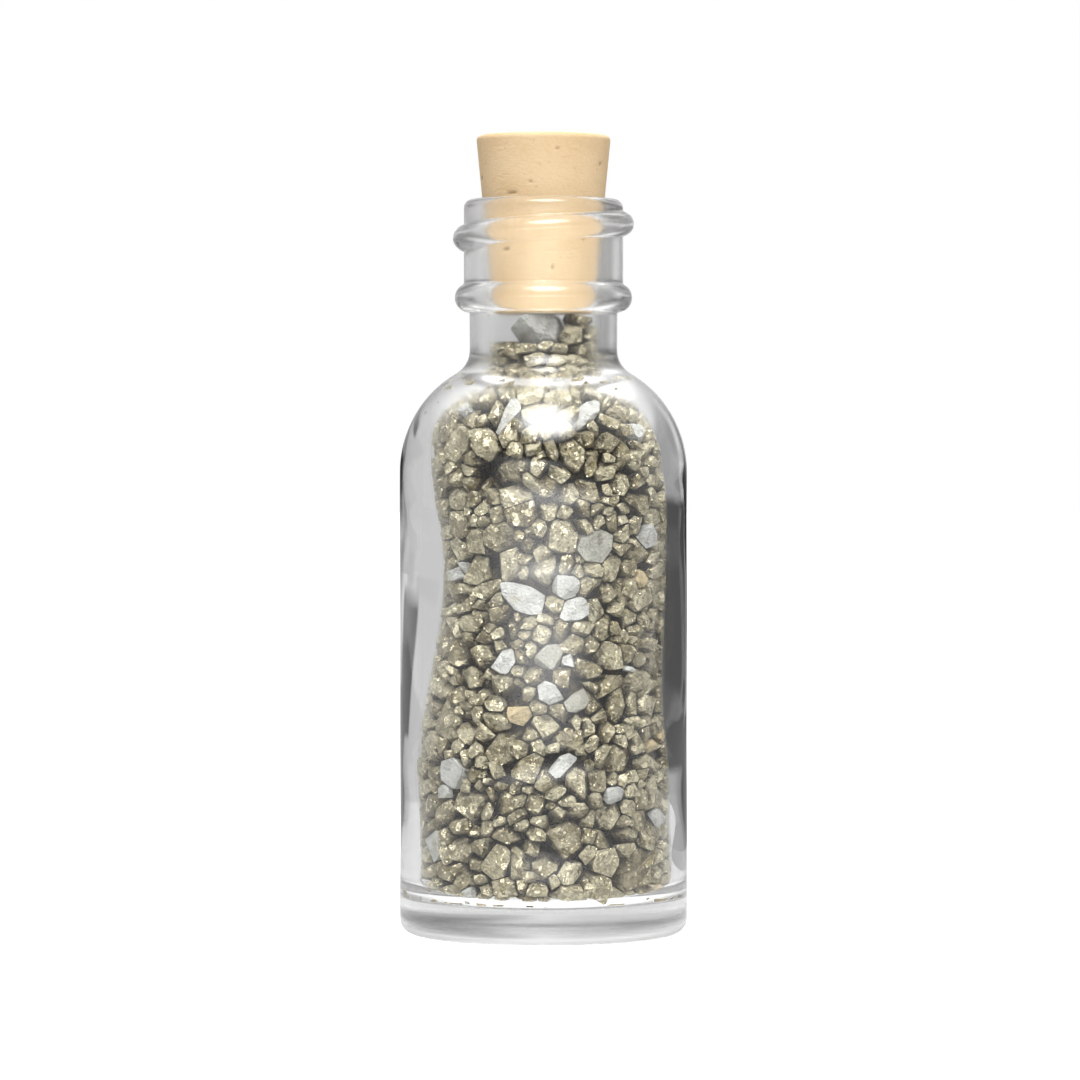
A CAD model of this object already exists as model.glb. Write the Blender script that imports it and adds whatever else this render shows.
"""A one-ounce glass vial of crushed pyrite, closed by a tapered cork.

The bottle and the cork are outlines turned about the axis. The filling is a few thousand broken
stones: balls are settled inside the hollow, and each becomes a faceted stone cut by its own
random planes, by a plane halfway to each neighbour, and by the glass.
"""
import math

import bpy
import numpy as np
from mathutils import Euler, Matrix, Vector


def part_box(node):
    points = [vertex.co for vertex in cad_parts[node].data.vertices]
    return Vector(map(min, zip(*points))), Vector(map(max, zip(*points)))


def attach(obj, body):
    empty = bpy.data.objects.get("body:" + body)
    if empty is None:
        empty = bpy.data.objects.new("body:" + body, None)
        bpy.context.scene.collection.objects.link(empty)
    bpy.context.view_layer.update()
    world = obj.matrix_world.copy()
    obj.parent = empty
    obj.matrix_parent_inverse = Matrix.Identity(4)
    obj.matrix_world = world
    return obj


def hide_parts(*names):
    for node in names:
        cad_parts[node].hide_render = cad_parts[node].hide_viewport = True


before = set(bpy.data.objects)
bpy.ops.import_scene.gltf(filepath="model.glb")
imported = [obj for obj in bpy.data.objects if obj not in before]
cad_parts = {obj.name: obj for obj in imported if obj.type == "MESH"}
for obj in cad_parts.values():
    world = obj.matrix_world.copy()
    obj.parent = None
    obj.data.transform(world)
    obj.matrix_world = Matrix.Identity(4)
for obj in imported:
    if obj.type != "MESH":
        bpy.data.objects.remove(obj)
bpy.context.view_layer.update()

MM = 0.001
BOTTLE_LOW, BOTTLE_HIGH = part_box("bottle")
CORK_LOW, CORK_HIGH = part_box("cork_stopper")

# Bottle, outside
BODY_R = (BOTTLE_HIGH.x - BOTTLE_LOW.x) / 2
RIM_Z = BOTTLE_HIGH.z
BARREL_TOP_Z = 50.7 * MM
SHOULDER_R = 12.5 * MM
SHOULDER_FILLET_R = 3.0 * MM
NECK_R = 8.1 * MM
HEEL_R = 1.6 * MM
STANDING_RING_W = 1.2 * MM
PUSH_UP_H = 0.9 * MM

# Neck finish
FINISH_R = 8.75 * MM
THREAD_R = 9.95 * MM
THREAD_PITCH = 3.175 * MM
THREAD_W = 2.7 * MM
THREAD_DROP = 3.45 * MM
THREAD_FADE = 0.13
BEAD_R = 1.6 * MM
BEAD_REACH = 9.75 * MM
BEAD_Z = RIM_Z - 9.3 * MM - 0.92 * BEAD_R
DULL_NECK_Z = (52.0 * MM, 61.5 * MM)
DULL_FOOT_Z = 3.4 * MM
RIM_OUTER_R = 0.9 * MM
RIM_INNER_R = 0.5 * MM

# Bottle, inside
FLOOR_Z = PUSH_UP_H + 2.8 * MM
FLOOR_CORNER_R = 2.4 * MM
FLOOR_EDGE_R = 11.2 * MM
BORE_R = 6.0 * MM
INNER_SHOULDER_R = SHOULDER_R - 3.8 * MM
INNER_SHOULDER_Z = BARREL_TOP_Z + 1.0 * MM
INNER_FILLET_R = SHOULDER_FILLET_R + 0.3 * MM
SEAT_LEN = 4.0 * MM
SEAT_GAP = 0.02 * MM

# The barrel's wall: its thickness at the foot, how much thicker and then thinner it gets and
# between which heights, and how far the hollow is off centre, with the bump's middle and reach
FOOT_WALL = 1.85 * MM
THICKER, THICKER_Z = 1.5 * MM, (17 * MM, 36 * MM)
THINNER, THINNER_Z = 0.45 * MM, (39 * MM, 50 * MM)
OFF_CENTRE, OFF_CENTRE_Z = 0.75 * MM, (41 * MM, 13 * MM)
STRETCH_FADE_Z = (INNER_SHOULDER_Z - 3 * MM, INNER_SHOULDER_Z + 7 * MM)
MOULD_WAVE = 0.035 * MM
THREAD_ZONE = 3.2 * MM

# How finely the outlines are measured off, how far their corners are rounded, and the rows and
# columns of the bottle's grid
OUTLINE_STEP = 0.08 * MM
OUTLINE_SOFT = 0.3 * MM
OUTER_ROWS, INNER_ROWS, BOTTLE_COLUMNS = 236, 150, 208

# Cork
CORK_TOP_R = (CORK_HIGH.x - CORK_LOW.x) / 2
CORK_TIP_R = 5.5 * MM
CORK_EDGE_R = 0.5 * MM
CORK_BEVEL = 0.4 * MM
CORK_STEP, CORK_SOFT = 0.05 * MM, 0.12 * MM
CORK_ROWS, CORK_COLUMNS = 170, 224
PORE_DEPTH = 0.16 * MM


# ------------------------------------------------------------------ small tools

def smooth_step(x, low, high):
    """0 below low, 1 above high, and 3t^2 - 2t^3 between them."""
    t = np.clip((x - low) / (high - low), 0.0, 1.0)
    return t * t * (3.0 - 2.0 * t)


def hump(x, middle, width):
    """A bell of height 1: exp(-((x - middle) / width)^2)."""
    return np.exp(-((x - middle) / width) ** 2)


def arc(centre_r, centre_z, radius, start, end, steps=24):
    """Points centre + radius (cos a, sin a), with a going from start to end in degrees."""
    a = np.radians(np.linspace(start, end, steps))
    return np.column_stack((centre_r + radius * np.cos(a), centre_z + radius * np.sin(a)))


def soften(points, step, reach):
    """A polyline measured off every step, then averaged over reach to round its corners."""
    along = np.concatenate(([0.0], np.cumsum(np.hypot(*np.diff(points, axis=0).T))))
    count = int(along[-1] / step) + 2
    dense = np.column_stack([np.interp(np.linspace(0.0, along[-1], count), along, points[:, k])
                             for k in (0, 1)])
    half = max(1, int(reach / step))
    padded = np.pad(dense, ((half, half), (0, 0)), mode="edge")
    kernel = np.hanning(2 * half + 3)[1:-1]
    kernel /= kernel.sum()
    return np.column_stack([np.convolve(padded[:, k], kernel, mode="valid") for k in (0, 1)])


def pick_rows(points, count, density):
    """count rows of a dense polyline, spaced so that rows x density is even along it."""
    weight = np.concatenate(([0.0], np.cumsum(density[1:] * np.hypot(*np.diff(points, axis=0).T))))
    at = np.linspace(0.0, weight[-1], count)
    return np.column_stack([np.interp(at, weight, points[:, k]) for k in (0, 1)])


def bend_of(points):
    """How sharply a polyline turns at each point, in radians a metre."""
    d = np.gradient(points, axis=0)
    heading = np.unwrap(np.arctan2(d[:, 1], d[:, 0]))
    return np.abs(np.gradient(heading)) / np.maximum(np.hypot(*d.T), 1e-9)


def add_object(name, data):
    """A new object in the scene, at the origin."""
    thing = bpy.data.objects.new(name, data)
    bpy.context.scene.collection.objects.link(thing)
    return thing


def mesh_object(name, points, faces, smooth=True):
    """An object at the origin whose mesh has these points and faces."""
    mesh = bpy.data.meshes.new(name)
    mesh.from_pydata(points, [], faces)
    if smooth:
        mesh.shade_smooth()
    mesh.validate()
    return add_object(name, mesh)


def turned(name, radius, height, angle):
    """A closed turned surface: ring i, column j is at (r cos a_j, r sin a_j, z), with r and z
    from radius[i, j] and height[i, j]. A fan closes the first and last rings on the axis."""
    rings, columns = radius.shape
    ring_points = np.stack((radius * np.cos(angle), radius * np.sin(angle),
                            np.broadcast_to(height, radius.shape)), axis=-1).reshape(-1, 3)
    poles = np.array([[0.0, 0.0, height[0].mean()], [0.0, 0.0, height[-1].mean()]])
    i, j = np.meshgrid(np.arange(rings - 1), np.arange(columns), indexing="ij")
    k = (j + 1) % columns
    quads = np.stack((i * columns + j, i * columns + k, (i + 1) * columns + k,
                      (i + 1) * columns + j), axis=-1).reshape(-1, 4)
    j = np.arange(columns)
    k = (j + 1) % columns
    first, last = rings * columns, rings * columns + 1
    top = (rings - 1) * columns
    fans = np.concatenate((np.column_stack((np.full(columns, first), k, j)),
                           np.column_stack((np.full(columns, last), top + j, top + k))))
    return mesh_object(name, np.concatenate((ring_points, poles)),
                       quads.tolist() + fans.tolist())


# ------------------------------------------------------------------ bottle

def cork_radius(z):
    """The cork's cone: a straight line from the tip's radius to the wide end's."""
    return CORK_TIP_R + (CORK_TOP_R - CORK_TIP_R) * (z - CORK_LOW.z) / (CORK_HIGH.z - CORK_LOW.z)


def wall_radius(z, angle):
    """Inside of the barrel: wide at the foot and narrower above, where the glass is thick. The
    hollow was blown off centre, so above the middle it is shifted sideways, with faint ripples."""
    even = BODY_R - FOOT_WALL - THICKER * smooth_step(z, *THICKER_Z)
    even = even + THINNER * smooth_step(z, *THINNER_Z)
    shift = OFF_CENTRE * hump(z, *OFF_CENTRE_Z)
    ripple = 0.07 * MM * np.sin(3 * angle + z / (5 * MM)) + 0.05 * MM * np.sin(z / (2.3 * MM))
    return even + shift * np.cos(angle) + ripple


def barrel_stretch(z, angle):
    """What the inner outline's radius is multiplied by: wall_radius over its straight value,
    fading to 1 across the shoulder."""
    straight = wall_radius(INNER_SHOULDER_Z, math.pi / 2)
    in_barrel = 1 - smooth_step(z, *STRETCH_FADE_Z)
    return 1 + in_barrel * (wall_radius(z, angle) / straight - 1)


def shoulder_curve():
    """Inner shoulder arc, tangent to the barrel's inside, and the fillet from it to the bore:
    the centre of each, and the angle at which they meet."""
    arc_r = wall_radius(INNER_SHOULDER_Z, math.pi / 2) - INNER_SHOULDER_R
    fillet_r = BORE_R + INNER_FILLET_R
    both = INNER_SHOULDER_R + INNER_FILLET_R
    fillet_z = INNER_SHOULDER_Z + math.sqrt(both ** 2 - (fillet_r - arc_r) ** 2)
    return arc_r, fillet_r, fillet_z, math.degrees(math.acos((fillet_r - arc_r) / both))


def outer_outline():
    """Half outline of the bottle's outside, from the middle of the base to the rim."""
    ring_r = BODY_R - HEEL_R
    dome = np.linspace(0.02, 1.0, 12) * (ring_r - STANDING_RING_W)
    push_up = np.column_stack((dome, PUSH_UP_H * (1 - (dome / dome[-1]) ** 2)))
    shoulder_r = BODY_R - SHOULDER_R
    fillet_r = NECK_R + SHOULDER_FILLET_R
    both = SHOULDER_R + SHOULDER_FILLET_R
    fillet_z = BARREL_TOP_Z + math.sqrt(both ** 2 - (fillet_r - shoulder_r) ** 2)
    meet = math.degrees(math.acos((fillet_r - shoulder_r) / both))
    bead_r = BEAD_REACH - BEAD_R
    leave = math.degrees(math.acos((FINISH_R - bead_r) / BEAD_R))
    return np.concatenate((
        push_up,
        arc(ring_r, HEEL_R, HEEL_R, -90, 0),
        arc(shoulder_r, BARREL_TOP_Z, SHOULDER_R, 0, meet),
        arc(fillet_r, fillet_z, SHOULDER_FILLET_R, 180 + meet, 180),
        arc(bead_r, BEAD_Z, BEAD_R, -91, leave),
        arc(FINISH_R - RIM_OUTER_R, RIM_Z - RIM_OUTER_R, RIM_OUTER_R, 0, 90)))


def inner_outline():
    """Half outline of the hollow, from the rim down to the middle of the floor. Its barrel part
    is only a place keeper, because wall_radius gives that radius."""
    arc_r, fillet_r, fillet_z, meet = shoulder_curve()
    seat_top = RIM_Z - RIM_INNER_R
    seat_low = seat_top - SEAT_LEN
    mouth_r = cork_radius(seat_top) + SEAT_GAP
    barrel_r = arc_r + INNER_SHOULDER_R
    floor_r = barrel_r - FLOOR_CORNER_R
    dome = np.linspace(1.0, 0.02, 14) * floor_r
    return np.concatenate((
        arc(mouth_r + RIM_INNER_R, seat_top, RIM_INNER_R, 90, 180),
        [[cork_radius(seat_low) + SEAT_GAP, seat_low]],
        arc(fillet_r, fillet_z, INNER_FILLET_R, 180, 180 + meet),
        arc(arc_r, INNER_SHOULDER_Z, INNER_SHOULDER_R, meet, 0),
        [[barrel_r, FLOOR_Z + FLOOR_CORNER_R + 6 * MM]],
        arc(floor_r, FLOOR_Z + FLOOR_CORNER_R, FLOOR_CORNER_R, 0, -90),
        np.column_stack((dome, FLOOR_Z + 0.35 * MM * (1 - (dome / floor_r) ** 2)))))


def thread_height(z, angle):
    """One turn of thread, as height above the neck: a half ellipse in section whose middle
    climbs one pitch a turn, starting and ending at the back, where it fades into the neck."""
    turn = np.mod(angle - math.pi / 2, 2 * math.pi) / (2 * math.pi)
    middle = RIM_Z - THREAD_DROP + THREAD_PITCH * (turn - 0.5)
    across = (z - middle) / (THREAD_W / 2)
    fade = smooth_step(np.minimum(turn, 1 - turn), 0.0, THREAD_FADE)
    return (THREAD_R - FINISH_R) * fade * np.clip(1 - across ** 2, 0, 1) ** 0.62


def make_bottle():
    """The glass: its outside, turned over the rim into its inside, as one closed surface."""
    columns = BOTTLE_COLUMNS
    angle = np.arange(columns) * 2 * math.pi / columns
    outer = soften(outer_outline(), OUTLINE_STEP, OUTLINE_SOFT)
    in_thread = hump(outer[:, 1], RIM_Z - THREAD_DROP, THREAD_ZONE)
    outer = pick_rows(outer, OUTER_ROWS, 1 + 1.6 * MM * bend_of(outer) + 9 * in_thread)
    inner = soften(inner_outline(), OUTLINE_STEP, OUTLINE_SOFT)
    inner = pick_rows(inner, INNER_ROWS, 1 + 1.2 * MM * bend_of(inner))

    outer_r = np.repeat(outer[:, :1], columns, axis=1)
    outer_z = np.repeat(outer[:, 1:], columns, axis=1)
    on_finish = ((outer[:, 1:] > BEAD_Z + BEAD_R * 0.8)
                 & (outer[:, :1] > FINISH_R - 0.6 * RIM_OUTER_R))
    outer_r = outer_r + on_finish * thread_height(outer_z, angle)
    above_foot = smooth_step(outer_z, 4 * MM, 12 * MM)
    on_barrel = above_foot * (1 - smooth_step(outer_z, 46 * MM, 60 * MM))
    outer_r = outer_r - MOULD_WAVE * on_barrel * (
        1 + np.sin(outer_z / (6.1 * MM) + 2 * angle) * np.sin(3 * angle - outer_z / (9 * MM)))

    inner_z = np.repeat(inner[:, 1:], columns, axis=1)
    inner_r = inner[:, :1] * barrel_stretch(inner_z, angle)
    return turned("glass_bottle", np.concatenate((outer_r, inner_r)),
                  np.concatenate((outer_z, inner_z)), angle)


# ------------------------------------------------------------------ cork

# Pores on the cork's side: height above the tip, angle from the front, width along the grain
# and height, in millimetres and degrees.
LENTICELS = (
    (13.0, -31.0, 1.3, 0.28), (14.2, -12.0, 0.25, 0.2), (8.8, 33.0, 1.0, 0.3),
    (8.1, 38.0, 0.4, 0.5), (4.9, 8.0, 0.3, 0.5), (6.9, -36.0, 0.7, 0.35),
    (16.3, 61.0, 0.6, 0.3), (11.4, 84.0, 1.4, 0.3), (5.2, 117.0, 0.9, 0.4),
    (15.1, 139.0, 1.1, 0.25), (9.7, 171.0, 0.7, 0.3), (17.4, 196.0, 0.5, 0.3),
    (12.6, 228.0, 1.2, 0.35), (7.3, 255.0, 0.8, 0.25), (14.9, 283.0, 0.9, 0.3),
    (17.8, 12.0, 0.3, 0.2),
)


def cork_outline():
    """Half outline of the cork from the middle of its tip to the middle of its top."""
    edge_z = CORK_HIGH.z - CORK_EDGE_R
    edge_r = cork_radius(edge_z) - CORK_EDGE_R
    tip = np.linspace(0.03, 1.0, 8) * (CORK_TIP_R - CORK_BEVEL)
    top = np.linspace(1.0, 0.03, 10) * edge_r
    return np.concatenate((
        np.column_stack((tip, np.full(8, CORK_LOW.z))),
        [[cork_radius(CORK_LOW.z + CORK_BEVEL), CORK_LOW.z + CORK_BEVEL]],
        arc(edge_r, edge_z, CORK_EDGE_R, 0, 90, 10),
        np.column_stack((top, np.full(10, CORK_HIGH.z)))))


def make_cork():
    """The cork: a turned cone whose pores are dents, each an upright or lying bell in z and
    angle. An attribute named pore holds the dents' depth, for the material."""
    columns = CORK_COLUMNS
    angle = np.arange(columns) * 2 * math.pi / columns - math.pi / 2
    rows = soften(cork_outline(), CORK_STEP, CORK_SOFT)
    rows = pick_rows(rows, CORK_ROWS, 1 + 0.6 * MM * bend_of(rows))
    radius = np.repeat(rows[:, :1], columns, axis=1)
    height = np.repeat(rows[:, 1:], columns, axis=1)
    pore = np.zeros_like(radius)
    for above_tip, turn, width, tall in LENTICELS:
        aside = np.angle(np.exp(1j * (angle + math.pi / 2 - math.radians(turn)))) * radius
        rise = height - CORK_LOW.z - above_tip * MM - 0.12 * aside
        pore += np.exp(-(2 * aside / (width * MM)) ** 4 - (2 * rise / (tall * MM)) ** 2)
    pore = np.clip(pore, 0, 1)
    on_side = smooth_step(radius, 0.6 * CORK_TIP_R, 0.8 * CORK_TIP_R)
    cork = turned("tapered_cork", radius - PORE_DEPTH * pore * on_side, height, angle)
    depth = cork.data.attributes.new("pore", "FLOAT", "POINT")
    depth.data.foreach_set("value", np.append(pore.ravel(), (0.0, 0.0)).astype(np.float32))
    return cork


# ------------------------------------------------------------------ stones

FILL_TOP_Z = 64.7 * MM
WALL_GAP = 0.05 * MM
STONE_D = 1.8 * MM
STONE_SPREAD = 0.40
SMALLEST_D = 0.85 * MM
LARGEST_D = 4.4 * MM
LONG_SHAPE = (1.32, 1.0, 0.70)
CHOSEN_THICK = 0.36
FILL_SHARE = 0.72
QUARTZ_SHARE = 0.022
QUARTZ_MOST_D = 2.0 * MM
TAN_SHARE = 0.006

# Settling: how many steps, how many of them use one list of near pairs, how near those are, the
# share of an overlap that one step undoes, how much of it a chosen stone moves, and how much of
# its reach a stone keeps from the glass and from the floor and the top
SETTLE_STEPS = 90
PAIR_STEPS = 9
PAIR_REACH = 1.3
PUSH_SHARE = 0.42
CHOSEN_FREE = 0.06
WALL_TOUCH = 0.93
END_TOUCH = 0.9
END_GAP = 0.3 * MM

# Breaking: how many faces a stone has of its own and from its neighbours, how far its own are
# turned from a box's, where they cut as shares of its reach, the share of them that hardly cut,
# the gap between stones, and how far a flat face 1 mm long falls behind the curved glass, in mm
OWN_FACES = 12
NEIGHBOUR_FACES = 12
FACE_TILT = 0.24
FACE_DEPTH = (0.76, 1.0)
SPARED_SHARE, SPARED_DEPTH = 0.2, 1.35
STONE_GAP = 0.13 * MM
WORN_SHARE = 0.9
GLASS_BOW = 0.06
STONES_AT_ONCE = 150
PARALLEL = 1e-3

# Kinds of stone
PYRITE, QUARTZ, TAN, GREY, NECK_STONE, NECK_CHIP = range(6)

# Stones that are put in by hand against the front of the glass, the pale quartz chips among
# them: kind, place to the right of the axis, height above the table, length, width and tilt of
# the long side from level, in millimetres and degrees.
CHOSEN_STONES = (
    (QUARTZ, -1.9, 38.3, 5.6, 2.6, -34), (QUARTZ, 2.0, 38.6, 2.9, 2.6, 60),
    (QUARTZ, 2.6, 35.8, 3.2, 2.7, 20), (QUARTZ, -10.0, 18.7, 3.4, 3.0, 70),
    (QUARTZ, -10.6, 15.8, 2.2, 1.6, 0), (QUARTZ, 2.2, 19.2, 3.2, 1.9, 50),
    (QUARTZ, 7.8, 16.2, 2.4, 2.0, 10), (QUARTZ, -11.8, 10.6, 3.6, 2.2, -55),
    (QUARTZ, 12.0, 14.2, 2.0, 1.6, 0), (QUARTZ, -3.8, 56.4, 4.6, 1.9, 66),
    (QUARTZ, 4.3, 55.9, 4.8, 2.2, 40), (QUARTZ, -4.0, 30.6, 3.4, 1.5, 55),
    (QUARTZ, 9.6, 54.6, 2.6, 2.3, 15), (QUARTZ, -12.4, 5.0, 3.2, 1.2, 60),
    (QUARTZ, 0.4, 26.8, 2.9, 2.3, -30), (GREY, 5.3, 42.6, 4.3, 4.0, 30),
    (GREY, 1.7, 31.0, 3.0, 2.7, 0), (GREY, 3.4, 26.2, 2.8, 2.0, 35),
    (QUARTZ, 10.6, 43.6, 3.0, 1.8, 80), (PYRITE, 1.5, 43.3, 4.2, 3.6, 75),
    (PYRITE, -4.3, 9.2, 3.9, 3.4, 60), (PYRITE, -9.1, 44.8, 3.2, 2.6, 0),
    (TAN, 11.6, 4.6, 2.6, 2.0, 10), (TAN, 12.4, 22.5, 1.8, 1.5, 40),
    (PYRITE, -6.3, 53.0, 4.3, 3.0, -50), (PYRITE, -2.4, 46.0, 3.5, 2.6, 10),
)
# Stones in the neck above the filling: kind, x, y and z of the middle, length, depth and height,
# and how far the length tips up, in degrees.
NECK_STONES = (
    (NECK_STONE, -0.1, -2.2, 65.7, 5.5, 4.8, 4.8, 8),
    (NECK_CHIP, 4.0, -1.6, 66.1, 3.3, 3.0, 2.5, -35),
    (NECK_CHIP, 3.3, -3.9, 65.1, 2.8, 2.2, 2.2, 20),
    (NECK_CHIP, 4.2, 1.7, 65.7, 2.8, 3.2, 2.6, 50),
    (NECK_CHIP, 3.7, -2.3, 67.6, 2.9, 2.0, 1.5, 5),
    (NECK_CHIP, 1.2, 3.1, 65.9, 3.4, 2.8, 2.8, -20),
    (PYRITE, -4.0, -2.6, 63.4, 2.6, 2.2, 2.0, 30),
)

# The neck stones are rolled about their long side and swung, so that an edge faces the front.
NECK_ROLL = np.array(Euler((math.radians(14), math.radians(-16), 0)).to_matrix())

# The hollow's wall as one line with one radius at each height, so without the floor
inner_line = soften(inner_outline(), OUTLINE_STEP, OUTLINE_SOFT)
inner_line = inner_line[inner_line[:, 0] > FLOOR_EDGE_R * (inner_line[:, 1] < 6 * MM)]


def hollow_radius(z, angle):
    """Inside radius at any height: the inner outline's, stretched in the barrel."""
    level = np.interp(z, inner_line[::-1, 1], inner_line[::-1, 0])
    return level * barrel_stretch(z, angle)


def wall_at(place):
    """The glass beside each point: its outward normal, and how far it is along that normal,
    (R - r) / sqrt(1 + slope^2), where R is the hollow's radius and slope is dR/dz."""
    angle = np.arctan2(place[:, 1], place[:, 0])
    high = place[:, 2] + 0.2 * MM
    low = place[:, 2] - 0.2 * MM
    slope = (hollow_radius(high, angle) - hollow_radius(low, angle)) / (0.4 * MM)
    lean = np.sqrt(1 + slope ** 2)
    normal = np.column_stack((np.cos(angle), np.sin(angle), -slope)) / lean[:, None]
    apart = (hollow_radius(place[:, 2], angle) - np.hypot(place[:, 0], place[:, 1])) / lean
    return normal, apart


def reach(stones, which, way):
    """How far an egg-shaped stone reaches along a unit way: sqrt(sum (axis x way)^2), with the
    way in the stone's own frame."""
    inside = np.einsum("nij,ni->nj", stones["turn"][which], way)
    return np.sqrt(((inside * stones["axes"][which]) ** 2).sum(axis=1))


def reach_each(stones, ways):
    """The same for every stone along several ways of its own."""
    inside = np.einsum("nij,nki->nkj", stones["turn"], ways)
    return np.sqrt(((inside * stones["axes"][:, None, :]) ** 2).sum(axis=2))


def near_pairs(place, size):
    """Every pair of stones whose balls, PAIR_REACH times larger, would touch. The distance
    between two points a and b comes from |a|^2 + |b|^2 - 2 a.b for all pairs at once."""
    at = (place / MM).astype(np.float32)
    square = (at ** 2).sum(axis=1)
    apart = square[:, None] + square[None, :] - 2 * at @ at.T
    wide = (PAIR_REACH * size / MM).astype(np.float32)
    return np.nonzero(np.triu(apart < (wide[:, None] + wide[None, :]) ** 2, 1))


def random_turns(count, rng):
    """count random rotations, each from a random unit quaternion."""
    q = rng.normal(size=(count, 4))
    w, x, y, z = (q / np.linalg.norm(q, axis=1, keepdims=True)).T
    return np.stack((1 - 2 * (y * y + z * z), 2 * (x * y - w * z), 2 * (x * z + w * y),
                     2 * (x * y + w * z), 1 - 2 * (x * x + z * z), 2 * (y * z - w * x),
                     2 * (x * z - w * y), 2 * (y * z + w * x), 1 - 2 * (x * x + y * y)),
                    axis=-1).reshape(count, 3, 3)


def facing_turn(across, tilt):
    """A rotation for a stone against the front glass at x = across: its long axis lies in the
    glass at the tilt, and its short axis points at the middle of the bottle."""
    lean = math.asin(max(-0.95, min(0.95, across / (13 * MM))))
    level = np.array((math.cos(lean), math.sin(lean), 0.0))
    up = np.array((0.0, 0.0, 1.0))
    long_way = math.cos(math.radians(tilt)) * level + math.sin(math.radians(tilt)) * up
    wide_way = -math.sin(math.radians(tilt)) * level + math.cos(math.radians(tilt)) * up
    return np.column_stack((long_way, wide_way, np.cross(long_way, wide_way)))


def sow_stones(rng):
    """Stones as eggs of random size, shape and turn, enough to fill FILL_SHARE of the hollow,
    spread evenly through it, after the chosen ones in their places."""
    z = np.linspace(FLOOR_Z, FILL_TOP_Z, 400)
    area = math.pi * hollow_radius(z, math.pi / 2) ** 2
    volume = area.sum() * (z[1] - z[0])
    size = STONE_D / 2 * np.exp(rng.normal(0, STONE_SPREAD, 6000))
    size = np.clip(size, SMALLEST_D / 2, LARGEST_D / 2)
    filled = np.cumsum(4 / 3 * math.pi * size ** 3 * np.prod(LONG_SHAPE))
    size = size[filled < FILL_SHARE * volume]
    count = len(size)
    height = np.interp(rng.random(count), np.cumsum(area) / area.sum(), z)
    turn = rng.random(count) * 2 * math.pi
    out = hollow_radius(height, turn) * np.sqrt(rng.random(count)) * 0.95
    place = np.column_stack((out * np.cos(turn), out * np.sin(turn), height))
    axes = size[:, None] * np.array(LONG_SHAPE) * np.exp(rng.normal(0, 0.1, (count, 3)))
    pale = (rng.random(count) < QUARTZ_SHARE) & (size < QUARTZ_MOST_D / 2)
    kind = np.where(pale, QUARTZ, np.where(rng.random(count) < TAN_SHARE, TAN, PYRITE))

    chosen = []
    for what, across, above, length, width, tilt in CHOSEN_STONES:
        thick = CHOSEN_THICK * width * MM
        across, above = across * MM, above * MM
        around = math.asin(max(-1.0, min(1.0, across / hollow_radius(above, -math.pi / 2))))
        deep = hollow_radius(above, around - math.pi / 2) - thick - 0.1 * MM
        chosen.append((what, (deep * math.sin(around), -deep * math.cos(around), above),
                       (length / 2 * MM, width / 2 * MM, thick), facing_turn(across, tilt)))
    for what, x, y, z, length, depth, tall, tip in NECK_STONES:
        chosen.append((what, np.array((x, y, z)) * MM, np.array((length, tall, depth)) / 2 * MM,
                       facing_turn(x, tip) @ NECK_ROLL))
    kind = np.concatenate(([c[0] for c in chosen], kind))
    return {"place": np.concatenate(([c[1] for c in chosen], place)),
            "axes": np.concatenate(([c[2] for c in chosen], axes)),
            "turn": np.concatenate(([c[3] for c in chosen], random_turns(count, rng))),
            "kind": kind,
            "free": np.where(np.arange(len(kind)) < len(chosen), CHOSEN_FREE, 1.0),
            "top": np.where(kind < NECK_STONE, FILL_TOP_Z, CORK_LOW.z - END_GAP)}


def settle(stones):
    """Pushes stones apart until they fit: each touching pair moves apart along the line between
    them by half its overlap, and any stone past the glass, the floor or the top comes back."""
    place, free = stones["place"], stones["free"]
    size = np.cbrt(stones["axes"].prod(axis=1))
    every = np.arange(len(place))
    up = np.broadcast_to((0.0, 0.0, 1.0), place.shape)
    tall = reach(stones, every, up)
    for step in range(SETTLE_STEPS):
        if step % PAIR_STEPS == 0:
            first, second = near_pairs(place, size)
        apart = place[second] - place[first]
        far = np.maximum(np.linalg.norm(apart, axis=1), 1e-7)
        way = apart / far[:, None]
        over = np.clip(reach(stones, first, way) + reach(stones, second, way) - far, 0, None)
        push = way * (PUSH_SHARE * over)[:, None]
        for k in range(3):
            shove = (np.bincount(second, push[:, k], len(place))
                     - np.bincount(first, push[:, k], len(place)))
            place[:, k] += free * shove
        normal, room = wall_at(place)
        wide = reach(stones, every, normal) * WALL_TOUCH + WALL_GAP
        place -= normal * np.clip(wide - room, 0, None)[:, None]
        place[:, 2] = np.clip(place[:, 2], FLOOR_Z + END_GAP + END_TOUCH * tall,
                              stones["top"] - END_TOUCH * tall)
    return place, first, second


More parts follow.
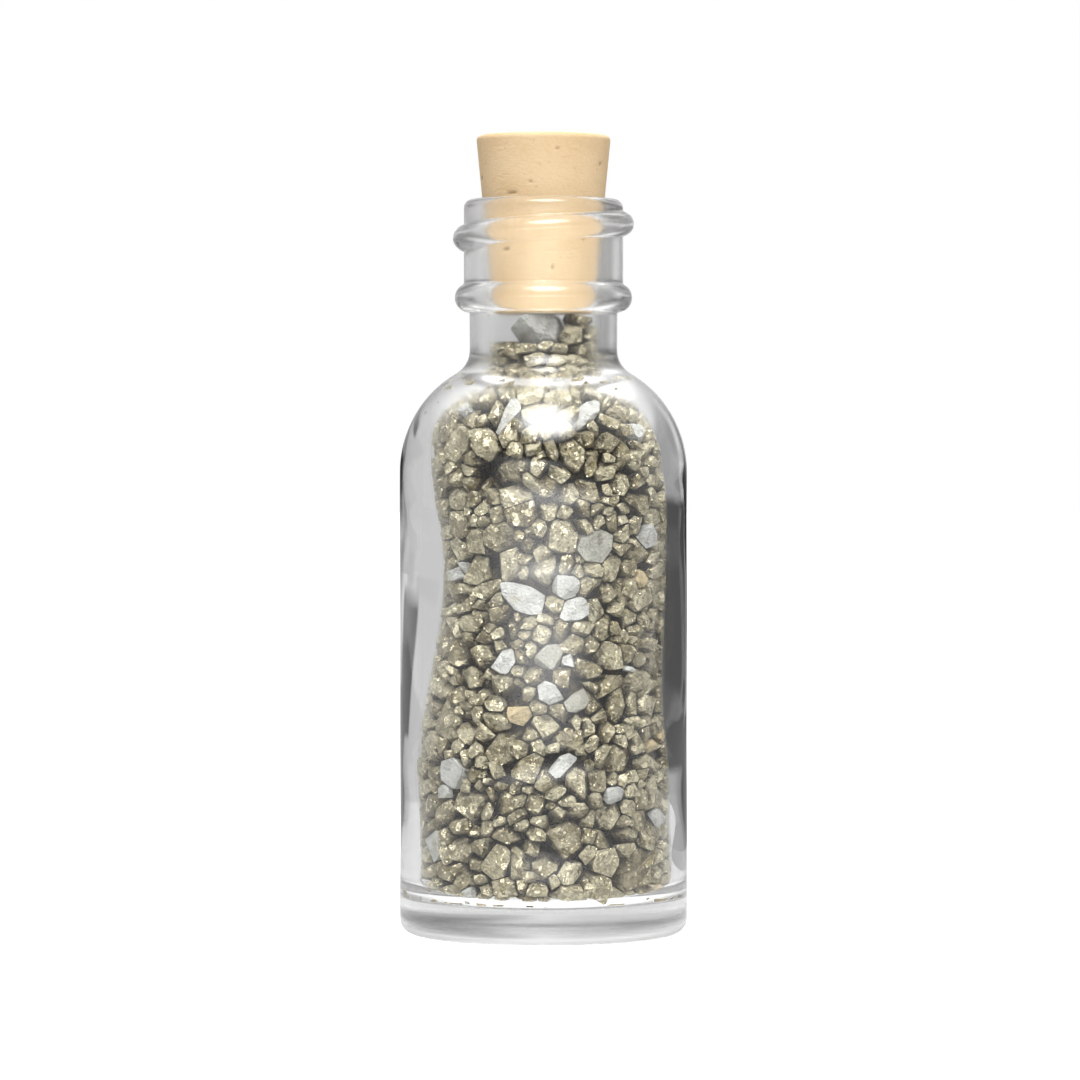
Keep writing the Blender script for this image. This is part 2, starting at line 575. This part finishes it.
def stone_planes(stones, first, second, rng):
    """The planes round each stone, as outward normals and distances from its middle: its own
    broken faces, one between it and each near neighbour, the glass, the floor and the top. The
    big neck stone has worn faces in its spare places, so it is rounder."""
    count = len(stones["place"])
    box = np.concatenate((np.eye(3), -np.eye(3)))
    spare = rng.normal(size=(count, OWN_FACES - 6, 3))
    own = np.concatenate((box + rng.normal(0, FACE_TILT, (count, 6, 3)), spare), axis=1)
    own = np.einsum("nij,nkj->nki", stones["turn"], own)
    own /= np.linalg.norm(own, axis=2, keepdims=True)
    near = reach_each(stones, own)
    broken = near * rng.uniform(*FACE_DEPTH, near.shape)
    broken = broken * np.where(rng.random(near.shape) < SPARED_SHARE, SPARED_DEPTH, 1.0)
    worn = (stones["kind"] == NECK_STONE)[:, None]
    near = np.where(worn, WORN_SHARE * near, broken)

    one = np.concatenate((first, second))
    other = np.concatenate((second, first))
    apart = stones["place"][other] - stones["place"][one]
    far = np.linalg.norm(apart, axis=1)
    way = apart / far[:, None]
    mine, theirs = reach(stones, one, way), reach(stones, other, way)
    order = np.lexsort((far - mine - theirs, one))
    one, way = one[order], way[order]
    halfway = (far * mine / (mine + theirs))[order] - STONE_GAP / 2
    rank = np.arange(len(one)) - np.searchsorted(one, one)
    keep = rank < NEIGHBOUR_FACES
    beside = rng.normal(size=(count, NEIGHBOUR_FACES, 3))
    beside /= np.linalg.norm(beside, axis=2, keepdims=True)
    beside_far = np.where(worn, WORN_SHARE * reach_each(stones, beside), 1.0)
    beside[one[keep], rank[keep]] = way[keep]
    beside_far[one[keep], rank[keep]] = halfway[keep]

    glass, room = wall_at(stones["place"])
    size = stones["axes"].max(axis=1)
    room = room - WALL_GAP - GLASS_BOW * size ** 2 / MM
    ends = np.broadcast_to(((0.0, 0.0, -1.0), (0.0, 0.0, 1.0)), (count, 2, 3))
    ends_far = np.column_stack((stones["place"][:, 2] - FLOOR_Z - 0.4 * MM,
                                stones["top"] + 0.2 * MM - stones["place"][:, 2]))
    normal = np.concatenate((own, beside, glass[:, None, :], ends), axis=1)
    distance = np.concatenate((near, beside_far, room[:, None], ends_far), axis=1)
    return normal, distance


def broken_stones(middle, normal, distance):
    """The corners and faces of every stone. A corner is where three of its planes meet, at
    (d1 n2 x n3 + d2 n3 x n1 + d3 n1 x n2) / (n1 . n2 x n3), if no other plane cuts it off. A
    face is a plane's corners in order of their angle round its normal. Returns the points, the
    stone of each point, the corners face by face, and where each face's corners begin."""
    count, planes = distance.shape
    a, b, c = np.array([(i, j, k) for i in range(planes) for j in range(i + 1, planes)
                        for k in range(j + 1, planes)]).T
    points, owner, corner = [], [], []
    for start in range(0, count, STONES_AT_ONCE):
        n, d = (each[start:start + STONES_AT_ONCE] for each in (normal, distance))
        bc = np.cross(n[:, b], n[:, c])
        volume = (n[:, a] * bc).sum(axis=2)
        flat = np.abs(volume) < PARALLEL
        at = (d[:, a, None] * bc + d[:, b, None] * np.cross(n[:, c], n[:, a])
              + d[:, c, None] * np.cross(n[:, a], n[:, b]))
        at = at / np.where(flat, 1.0, volume)[..., None]
        cut = (np.einsum("nti,npi->ntp", at, n) > d[:, None, :] + 1e-9).any(axis=2)
        which, triple = np.nonzero(~cut & ~flat)
        points.append(at[which, triple] + middle[start + which])
        owner.append(start + which)
        corner.append(np.column_stack((a[triple], b[triple], c[triple])))
    points, owner, corner = map(np.concatenate, (points, owner, corner))

    vertex = np.repeat(np.arange(len(points)), 3)
    face = owner[vertex] * planes + corner.ravel()
    flat_normal = normal.reshape(-1, 3)[face]
    label, slot, size = np.unique(face, return_inverse=True, return_counts=True)
    centre = np.column_stack([np.bincount(slot, points[vertex, k]) for k in range(3)])
    from_centre = points[vertex] - (centre / size[:, None])[slot]
    aside = np.cross(flat_normal, np.where(np.abs(flat_normal[:, 2:]) < 0.9, (0, 0, 1), (1, 0, 0)))
    above = np.cross(flat_normal, aside)
    around = np.arctan2((from_centre * above).sum(axis=1), (from_centre * aside).sum(axis=1))
    order = np.lexsort((around, slot))
    order = order[size[slot[order]] >= 3]
    begins = np.nonzero(np.diff(slot[order], prepend=-1))[0]
    return points, owner, vertex[order], begins


def stone_object(name, solid, members):
    """One object of some of the stones, flat faced. Its attribute named tone is a random number
    from 0 to 1 for each stone, shift a random vector for each, and deep how many millimetres
    each corner lies in from the glass."""
    points, owner, corners, begins, tone, shift = solid
    wanted = np.isin(owner, members)
    new_index = np.cumsum(wanted) - 1
    face_of = np.searchsorted(begins, np.arange(len(corners)), side="right")
    keep = wanted[corners]
    loops = new_index[corners[keep]]
    starts = np.nonzero(np.diff(face_of[keep], prepend=-1))[0]
    mesh = bpy.data.meshes.new(name)
    mesh.vertices.add(int(wanted.sum()))
    mesh.vertices.foreach_set("co", points[wanted].ravel())
    mesh.loops.add(len(loops))
    mesh.loops.foreach_set("vertex_index", loops.astype(np.int32))
    mesh.polygons.add(len(starts))
    mesh.polygons.foreach_set("loop_start", starts.astype(np.int32))
    mesh.update(calc_edges=True)
    mesh.validate()
    mesh.shade_flat()
    own = owner[wanted]
    deep = wall_at(points[wanted])[1] / MM
    for label, kind, key, values in (("tone", "FLOAT", "value", tone[own]),
                                     ("shift", "FLOAT_VECTOR", "vector", shift[own].ravel()),
                                     ("deep", "FLOAT", "value", deep)):
        layer = mesh.attributes.new(label, kind, "POINT")
        layer.data.foreach_set(key, values.astype(np.float32))
    return add_object(name, mesh)


# ------------------------------------------------------------------ shared effects

def put(tree, kind, sockets=None, **settings):
    """Adds a node, sets its properties, and sets or links its inputs by name or number."""
    node = tree.nodes.new(kind)
    for name, value in settings.items():
        setattr(node, name, value)
    for name, value in (sockets or {}).items():
        if isinstance(value, bpy.types.NodeSocket):
            tree.links.new(value, node.inputs[name])
        else:
            node.inputs[name].default_value = value
    return node


def maths(tree, operation, *values):
    """One Math node's result."""
    return put(tree, "ShaderNodeMath", dict(enumerate(values)), operation=operation).outputs[0]


def times(tree, first, second):
    """The product of two values."""
    return maths(tree, "MULTIPLY", first, second)


def vectors(tree, operation, *values, scale=None):
    """One Vector Math node's result."""
    sockets = dict(enumerate(values))
    if scale is not None:
        sockets["Scale"] = scale
    return put(tree, "ShaderNodeVectorMath", sockets, operation=operation).outputs[0]


def far_from(tree, place, middle=(0, 0, 0)):
    """How far a place is from a middle."""
    return put(tree, "ShaderNodeVectorMath", {0: place, 1: middle},
               operation="DISTANCE").outputs["Value"]


def blend(tree, share, first, second):
    """A share of the way from the first colour to the second."""
    return put(tree, "ShaderNodeMix", {0: share, 6: first, 7: second},
               data_type="RGBA").outputs[2]


def layered(tree, colour, *layers):
    """A colour with others laid over it in turn, each by its mask and its largest share."""
    for mask, share, over in layers:
        colour = blend(tree, times(tree, mask, share), colour, over)
    return colour


def spread(tree, value, low, high, to_low=0.0, to_high=1.0):
    """A smooth Map Range of a value."""
    node = put(tree, "ShaderNodeMapRange", {"Value": value, "From Min": low, "From Max": high,
                                            "To Min": to_low, "To Max": to_high},
               interpolation_type="SMOOTHSTEP")
    return node.outputs["Result"]


def attribute(tree, name, output="Fac"):
    """One attribute of the mesh."""
    return put(tree, "ShaderNodeAttribute", attribute_name=name).outputs[output]


def own_place(tree):
    """The place on the object, in its own metres."""
    return put(tree, "ShaderNodeTexCoord").outputs["Object"]


def parts_of(tree, vector):
    """The x, y and z of a vector."""
    return put(tree, "ShaderNodeSeparateXYZ", {0: vector}).outputs


def seen_by_camera(tree):
    """1 on what the eye sees straight, and 0 in reflections and on what light reaches."""
    return put(tree, "ShaderNodeLightPath").outputs["Is Camera Ray"]


def effect(name, inputs, *outputs):
    """An empty node group with these named inputs and outputs, and its two end nodes. Inputs
    are numbers and vectors, as their values are, and outputs are numbers but for Normal."""
    group = bpy.data.node_groups.new(name, "ShaderNodeTree")
    for label, value in inputs.items():
        kind = "NodeSocketVector" if isinstance(value, tuple) else "NodeSocketFloat"
        socket = group.interface.new_socket(label, in_out="INPUT", socket_type=kind)
        socket.default_value = value
    for label in outputs:
        kind = "NodeSocketVector" if label == "Normal" else "NodeSocketFloat"
        group.interface.new_socket(label, in_out="OUTPUT", socket_type=kind)
    return group, group.nodes.new("NodeGroupInput"), group.nodes.new("NodeGroupOutput")


def use(tree, group, sockets):
    """Places a shared effect with its own values."""
    return put(tree, "ShaderNodeGroup", sockets, node_tree=group)


def make_fracture():
    """Broken faces: cells of a Voronoi pattern, each tilting the surface its own way. Cell is a
    random number for each face, and Fine one for each of the smaller faces inside it."""
    group, inside, out = effect(
        "fracture", {"Shift": (0, 0, 0), "Scale": 2500.0, "Tilt": 0.5, "Fine Tilt": 0.2},
        "Normal", "Cell", "Fine")
    place = vectors(group, "ADD", own_place(group), inside.outputs["Shift"])
    normal = put(group, "ShaderNodeNewGeometry").outputs["Normal"]
    for smaller, tilt, label in ((1.0, "Tilt", "Cell"), (2.7, "Fine Tilt", "Fine")):
        scale = times(group, inside.outputs["Scale"], smaller)
        colour = put(group, "ShaderNodeTexVoronoi",
                     {"Vector": place, "Scale": scale}).outputs["Color"]
        lean = vectors(group, "SUBTRACT", colour, (0.5, 0.5, 0.5))
        normal = vectors(group, "ADD", normal,
                         vectors(group, "SCALE", lean, scale=inside.outputs[tilt]))
        red = put(group, "ShaderNodeSeparateColor", {"Color": colour}).outputs[0]
        group.links.new(red, out.inputs[label])
    group.links.new(vectors(group, "NORMALIZE", normal), out.inputs["Normal"])
    return group


def make_mottle():
    """Cloudy patches: a noise sharpened between Low and High into a mask from 0 to 1."""
    group, inside, out = effect(
        "mottle", {"Shift": (0, 0, 0), "Stretch": (1, 1, 1), "Scale": 300.0, "Detail": 3.0,
                   "Low": 0.35, "High": 0.65}, "Mask")
    place = vectors(group, "MULTIPLY", own_place(group), inside.outputs["Stretch"])
    place = vectors(group, "ADD", place, inside.outputs["Shift"])
    noise = put(group, "ShaderNodeTexNoise",
                {"Vector": place, "Scale": inside.outputs["Scale"],
                 "Detail": inside.outputs["Detail"]}).outputs["Fac"]
    group.links.new(spread(group, noise, inside.outputs["Low"], inside.outputs["High"]),
                    out.inputs["Mask"])
    return group


def make_gap_dirt():
    """Brown dust between the stones: none at the glass, and most a little way in. From and To
    are depths from the glass in millimetres."""
    group, inside, out = effect("gap_dirt", {"From": 0.3, "To": 1.9, "Most": 0.85}, "Mask")
    mask = spread(group, attribute(group, "deep"), inside.outputs["From"], inside.outputs["To"],
                  0.0, inside.outputs["Most"])
    group.links.new(mask, out.inputs["Mask"])
    return group


fracture = make_fracture()
mottle = make_mottle()
gap_dirt = make_gap_dirt()
DIRT = (0.045, 0.03, 0.01, 1)


def patches(tree, **sockets):
    """The mottle effect's mask, with its own values."""
    return use(tree, mottle, sockets).outputs["Mask"]


def dirtied(tree, colour, start, end, most):
    """A colour under the dust of the gaps."""
    dirt = use(tree, gap_dirt, {"From": start, "To": end, "Most": most}).outputs["Mask"]
    return blend(tree, dirt, colour, DIRT)


def rough_normal(tree, faces, shift, height):
    """The broken faces' normal, roughened by a fine grain."""
    grain = patches(tree, Shift=shift, Scale=3600.0, Detail=3.0, Low=0.2, High=0.8)
    return put(tree, "ShaderNodeBump", {"Height": grain, "Distance": height, "Strength": 0.9,
                                        "Normal": faces.outputs["Normal"]}).outputs[0]


# ------------------------------------------------------------------ materials

GLASS_TINT = (0.985, 0.99, 0.985, 1)


def bare_material(name):
    """A material without nodes, and its tree."""
    material = bpy.data.materials.new(name)
    material.use_nodes = True
    material.node_tree.nodes.clear()
    return material, material.node_tree


def show(tree, shader):
    """Joins a shader to the material's surface."""
    put(tree, "ShaderNodeOutputMaterial", {"Surface": shader.outputs[0]})


def clear_glass():
    """Soda-lime glass: slow ripples left by the mould, faint smudges of roughness, and a duller
    skin on the neck and foot, where the mould chilled it. Light reaches the filling straight
    through it."""
    material, tree = bare_material("clear_glass")
    height = parts_of(tree, own_place(tree))[2]
    dull = maths(tree, "ADD", spread(tree, height, *DULL_NECK_Z, 0.0, 0.17),
                 spread(tree, height, 0.0, DULL_FOOT_Z, 0.42, 0.0))
    smudge = patches(tree, Scale=170.0, Low=0.45, High=0.75)
    ripple = patches(tree, Scale=90.0, Detail=1.0, Low=0.2, High=0.8, Stretch=(1, 1, 0.45))
    bump = put(tree, "ShaderNodeBump", {"Height": ripple, "Distance": 0.0001, "Strength": 0.5})
    glass = put(tree, "ShaderNodeBsdfPrincipled",
                {"Base Color": GLASS_TINT, "Transmission Weight": 1.0, "IOR": 1.5,
                 "Roughness": maths(tree, "ADD", dull, times(tree, smudge, 0.02)),
                 "Normal": bump.outputs[0]})
    through = put(tree, "ShaderNodeBsdfTransparent", {"Color": GLASS_TINT})
    shadow = put(tree, "ShaderNodeLightPath").outputs["Is Shadow Ray"]
    show(tree, put(tree, "ShaderNodeMixShader", {0: shadow, 1: glass.outputs[0],
                                                 2: through.outputs[0]}))
    return material


def cork():
    """Natural cork: fine pale cells, darker specks and streaks, and brown pores."""
    material, tree = bare_material("cork")
    cells = patches(tree, Scale=2600.0, Detail=2.0, Low=0.3, High=0.7, Stretch=(1, 1, 1.6))
    cloud = patches(tree, Scale=260.0, Detail=4.0, Low=0.3, High=0.7)
    streak = patches(tree, Scale=420.0, Detail=3.0, Low=0.55, High=0.78, Stretch=(1, 1, 3.5))
    speck = patches(tree, Scale=1500.0, Detail=1.0, Low=0.70, High=0.78, Shift=(0.3, 0.1, 0.7))
    colour = blend(tree, cloud, (0.57, 0.40, 0.22, 1), (0.615, 0.455, 0.27, 1))
    colour = layered(tree, colour, (cells, 0.3, (0.66, 0.50, 0.31, 1)),
                     (streak, 0.22, (0.48, 0.32, 0.16, 1)),
                     (speck, 0.25, (0.37, 0.23, 0.115, 1)),
                     (attribute(tree, "pore"), 0.8, (0.22, 0.135, 0.07, 1)))
    height = maths(tree, "SUBTRACT", times(tree, cells, 0.5),
                   maths(tree, "ADD", times(tree, speck, 0.8), streak))
    bump = put(tree, "ShaderNodeBump", {"Height": height, "Distance": 0.00008, "Strength": 0.3})
    show(tree, put(tree, "ShaderNodeBsdfPrincipled",
                   {"Base Color": colour, "Roughness": spread(tree, cloud, 0, 1, 0.72, 0.85),
                    "Normal": bump.outputs[0]}))
    return material


def pyrite():
    """Crushed pyrite: brassy faces among dull olive-grey ones, dusty, darker and lighter from
    stone to stone."""
    material, tree = bare_material("pyrite")
    shift = attribute(tree, "shift", "Vector")
    faces = use(tree, fracture, {"Shift": shift, "Scale": 1500.0, "Tilt": 0.85,
                                 "Fine Tilt": 0.55})
    fine = faces.outputs["Fine"]
    dust = patches(tree, Shift=shift, Scale=900.0, Detail=4.0, Low=0.36, High=0.66)
    bright = maths(tree, "MAXIMUM", spread(tree, faces.outputs["Cell"], 0.86, 0.9),
                   spread(tree, fine, 0.9, 0.93))
    colour = blend(tree, spread(tree, attribute(tree, "tone"), 0, 1),
                   (0.24, 0.205, 0.115, 1), (0.56, 0.515, 0.365, 1))
    colour = layered(tree, colour, (fine, 0.6, (0.12, 0.088, 0.04, 1)),
                     (dust, 0.4, (0.50, 0.465, 0.35, 1)), (bright, 0.8, (0.93, 0.85, 0.62, 1)))
    metal = maths(tree, "SUBTRACT", 0.9, times(tree, dust, 0.45))
    rough = maths(tree, "ADD", 0.32, times(tree, dust, 0.3))
    show(tree, put(tree, "ShaderNodeBsdfPrincipled",
                   {"Base Color": dirtied(tree, colour, 0.2, 1.5, 0.92),
                    "Metallic": maths(tree, "MAXIMUM", metal, bright),
                    "Roughness": maths(tree, "SUBTRACT", rough, times(tree, bright, 0.16)),
                    "Normal": rough_normal(tree, faces, shift, 0.00014)}))
    return material


def pale_stone(name, low, high, stain, stained):
    """Quartz and other plain stones: two near colours in clouds, with a stain in places."""
    material, tree = bare_material(name)
    shift = attribute(tree, "shift", "Vector")
    faces = use(tree, fracture, {"Shift": shift, "Scale": 1300.0, "Tilt": 0.5,
                                 "Fine Tilt": 0.32})
    cloud = patches(tree, Shift=shift, Scale=700.0, Detail=4.0, Low=0.3, High=0.7)
    patch = patches(tree, Shift=shift, Scale=520.0, Detail=5.0, Low=0.52, High=0.7)
    share = maths(tree, "ADD", times(tree, cloud, 0.6),
                  times(tree, attribute(tree, "tone"), 0.4))
    colour = layered(tree, blend(tree, share, low, high), (patch, stained, stain))
    show(tree, put(tree, "ShaderNodeBsdfPrincipled",
                   {"Base Color": dirtied(tree, colour, 0.4, 2.6, 0.7),
                    "Roughness": spread(tree, faces.outputs["Cell"], 0, 1, 0.35, 0.6),
                    "Normal": rough_normal(tree, faces, shift, 0.00012)}))
    return material


# ------------------------------------------------------------------ the vial

FIRST_DRAW = 71
NODES_A_LAYER = 3

glass = clear_glass()
cork_skin = cork()
pyrite_skin = pyrite()
quartz_skin = pale_stone("quartz", (0.36, 0.36, 0.34, 1), (0.52, 0.52, 0.495, 1),
                         (0.33, 0.30, 0.22, 1), 0.6)
tan_skin = pale_stone("rusty_quartz", (0.42, 0.33, 0.18, 1), (0.56, 0.46, 0.28, 1),
                      (0.30, 0.20, 0.08, 1), 0.5)
grey_skin = pale_stone("grey_stone", (0.24, 0.235, 0.20, 1), (0.37, 0.36, 0.31, 1),
                       (0.18, 0.17, 0.12, 1), 0.5)
smoky_skin = pale_stone("smoky_quartz", (0.24, 0.24, 0.225, 1), (0.42, 0.42, 0.395, 1),
                        (0.17, 0.155, 0.12, 1), 0.7)


def place_piece(piece, material, body, slot, *nodes):
    """Gives a piece its material, its body, its finish and the CAD nodes it stands for."""
    piece.data.materials.append(material)
    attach(piece, body)
    if nodes:
        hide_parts(*nodes)


def fill_bottle():
    """Sows, settles and breaks the stones, then hands each group to its piece."""
    rng = np.random.default_rng(FIRST_DRAW)
    stones = sow_stones(rng)
    middle, first, second = settle(stones)
    normal, distance = stone_planes(stones, first, second, rng)
    count = len(middle)
    solid = (*broken_stones(middle, normal, distance), rng.random(count),
             rng.uniform(-1, 1, (count, 3)))

    def group(name, members, material, slot, *nodes):
        """One piece of the stones that a mask picks out."""
        piece = stone_object(name, solid, np.nonzero(members)[0])
        place_piece(piece, material, "vial", slot, *nodes)

    kind, z = stones["kind"], middle[:, 2]
    layers = sorted(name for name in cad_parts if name.startswith("pyrite_layer"))
    edges = [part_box(name)[0].z for name in layers[::NODES_A_LAYER]] + [1.0]
    edges[0] = 0.0
    for k, (low, high) in enumerate(zip(edges, edges[1:])):
        group(f"pyrite_gravel_{k + 1}", (kind == PYRITE) & (z >= low) & (z < high), pyrite_skin,
              "pyrite", *layers[NODES_A_LAYER * k:NODES_A_LAYER * (k + 1)])
    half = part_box("quartz_chips_upper")[0].z
    for name, inside in (("quartz_chips_lower", z < half), ("quartz_chips_upper", z >= half)):
        group(name + "_broken", (kind == QUARTZ) & inside, quartz_skin, "quartz", name)
    group("rusty_chips", kind == TAN, tan_skin, "quartz")
    group("grey_chips", kind == GREY, grey_skin, "quartz")
    group("big_neck_stone", kind == NECK_STONE, smoky_skin, "pyrite", "neck_stone")
    group("neck_gravel", kind == NECK_CHIP, pyrite_skin, "pyrite", "neck_chips")


place_piece(make_bottle(), glass, "vial", "clear_glass", "bottle")
place_piece(make_cork(), cork_skin, "stopper", "cork", "cork_stopper")
fill_bottle()


# ------------------------------------------------------------------ studio

MIDDLE = (0, 0, 0.04)
WHITE = (1, 1, 1, 1)
LAMP_LIFT = 2.6
CARD_FALL = -4.5


def make_floor():
    """A level sweep that the vial stands on: greyer in reflections than to the eye, apart from
    the pool of light that the glass gathers under its foot."""
    corners = [(-4, -4, 0), (4, -4, 0), (4, 4, 0), (-4, 4, 0)]
    floor = mesh_object("floor", corners, [(0, 1, 2, 3)], smooth=False)
    material, tree = bare_material("floor_paper")
    pool = spread(tree, far_from(tree, own_place(tree)), 1.1 * BODY_R, 2 * BODY_R, 1.0, 0.4)
    show(tree, put(tree, "ShaderNodeBsdfPrincipled",
                   {"Base Color": (0.2, 0.2, 0.2, 1), "Roughness": 1.0,
                    "Specular IOR Level": 0.0, "Emission Color": WHITE,
                    "Emission Strength": maths(tree, "MAXIMUM", pool, seen_by_camera(tree))}))
    floor.data.materials.append(material)


def make_world():
    """A pale room: white to the eye. In reflections and as light it is a little greyer, darker
    on the camera's side, and brighter overhead and straight behind the vial."""
    world = bpy.data.worlds.new("studio")
    bpy.context.scene.world = world
    world.use_nodes = True
    tree = world.node_tree
    tree.nodes.clear()
    way = parts_of(tree, put(tree, "ShaderNodeTexCoord").outputs["Generated"])
    side = spread(tree, way[2], 0.06, 0.3, 0.82, 0.7)
    front = spread(tree, way[1], -0.7, 0.15, -0.56, 0.0)
    behind = spread(tree, way[1], 0.975, 0.992, 0.0, 0.06)
    above = spread(tree, way[2], 0.2, 0.9, 0.0, 0.6)
    room = maths(tree, "ADD", maths(tree, "ADD", side, front), maths(tree, "ADD", behind, above))
    seen = seen_by_camera(tree)
    unseen = maths(tree, "SUBTRACT", 1.0, seen)
    strength = maths(tree, "ADD", times(tree, room, unseen), seen)
    back = put(tree, "ShaderNodeBackground", {"Color": WHITE, "Strength": strength})
    put(tree, "ShaderNodeOutputWorld", {"Surface": back.outputs[0]})


def make_card(name, start, end, height, strength, soft=False):
    """An upright card on the line from start to end that shows only in reflections and through
    glass. A plain one is even and fades out near its edges, to hide what is behind it. A soft
    one adds a glow that fades as exp(-4.5 r^2), with r from its own UV map."""
    over = Vector((0, 0, height))
    card = mesh_object(name, [start, end, Vector(end) + over, Vector(start) + over],
                       [(0, 1, 2, 3)], smooth=False)
    uv = card.data.uv_layers.new(name="card")
    uv.data.foreach_set("uv", (-1, -1, 1, -1, 1, 1, -1, 1))
    material, tree = bare_material(name)
    place = put(tree, "ShaderNodeUVMap", uv_map="card").outputs[0]
    clear = put(tree, "ShaderNodeBsdfTransparent").outputs[0]
    if soft:
        far = far_from(tree, place)
        glow = maths(tree, "EXPONENT", times(tree, times(tree, far, far), CARD_FALL))
        light = put(tree, "ShaderNodeEmission",
                    {"Color": WHITE, "Strength": times(tree, glow, strength)})
        show(tree, put(tree, "ShaderNodeAddShader", {0: light.outputs[0], 1: clear}))
    else:
        x, y, _ = parts_of(tree, vectors(tree, "ABSOLUTE", place))
        solid = times(tree, spread(tree, x, 0.75, 1.0, 1.0, 0.0),
                      spread(tree, y, 0.5, 1.0, 1.0, 0.0))
        light = put(tree, "ShaderNodeEmission", {"Color": WHITE, "Strength": strength})
        show(tree, put(tree, "ShaderNodeMixShader", {0: solid, 1: clear, 2: light.outputs[0]}))
    card.data.materials.append(material)
    card.visible_camera = card.visible_diffuse = card.visible_shadow = False


def make_lamp(name, place, target, size, watts):
    """A round soft light turned to face a point. Its glow is full to a fifth of its radius and
    falls smoothly to nothing at the rim, so it has no hard edge in the glass. Such a disc gives
    about 0.39 of an even one's light, so the glow is raised by LAMP_LIFT to give the watts."""
    lamp = bpy.data.lights.new(name, "AREA")
    lamp.shape, lamp.size, lamp.energy = "DISK", size, watts
    lamp.use_nodes = True
    tree = lamp.node_tree
    on_disc = put(tree, "ShaderNodeNewGeometry").outputs["Parametric"]
    glow = spread(tree, far_from(tree, on_disc, (0.5, 0.5, 0.0)), 0.1, 0.5, LAMP_LIFT, 0.0)
    tree.links.new(glow, tree.nodes["Emission"].inputs["Strength"])
    holder = add_object(name, lamp)
    holder.location = place
    facing = (Vector(target) - Vector(place)).to_track_quat("-Z", "Y")
    holder.rotation_euler = facing.to_euler()
    holder.visible_camera = False


def make_camera():
    """A long lens half a metre in front, just above the middle of the vial, tipped down by one
    degree."""
    camera = bpy.data.cameras.new("camera")
    camera.lens, camera.sensor_width = 151.5, 36.0
    camera.clip_start, camera.clip_end = 0.01, 50.0
    holder = add_object("camera", camera)
    holder.location = (-0.385 * MM, -0.5, 52 * MM)
    holder.rotation_euler = (math.radians(90 - 1.008), 0, 0)
    bpy.context.scene.camera = holder


make_floor()
make_world()
make_lamp("overhead_light", (0.03, -0.37, 0.52), MIDDLE, 0.6, 5.2)
make_lamp("back_light", (0.08, 0.4, 0.5), MIDDLE, 0.6, 0.9)
make_card("front_glow", (0.43, -0.3, -0.018), (-0.43, -0.3, -0.018), 0.082, 5.0, soft=True)
make_card("neck_glow", (0.3, -0.3, 0.06), (-0.3, -0.3, 0.06), 0.06, 1.0, soft=True)
make_card("right_low_grey", (-0.004, 0.134, -0.03), (0.15, 0.04, -0.03), 0.06, 0.4)
make_card("right_grey", (0.04, 0.112, 0.036), (0.16, 0.04, 0.036), 0.065, 0.35)
make_card("right_flag", (0.01, 0.125, 0.012), (0.15, 0.04, 0.012), 0.046, 0.08)
make_card("left_grey", (-0.15, 0.04, -0.03), (0.004, 0.134, -0.03), 0.135, 0.58)
make_card("left_flag", (-0.062, 0.09, 0.042), (0.012, 0.135, 0.042), 0.018, 0.06)
make_camera()
bpy.context.scene.view_settings.view_transform = "Standard"
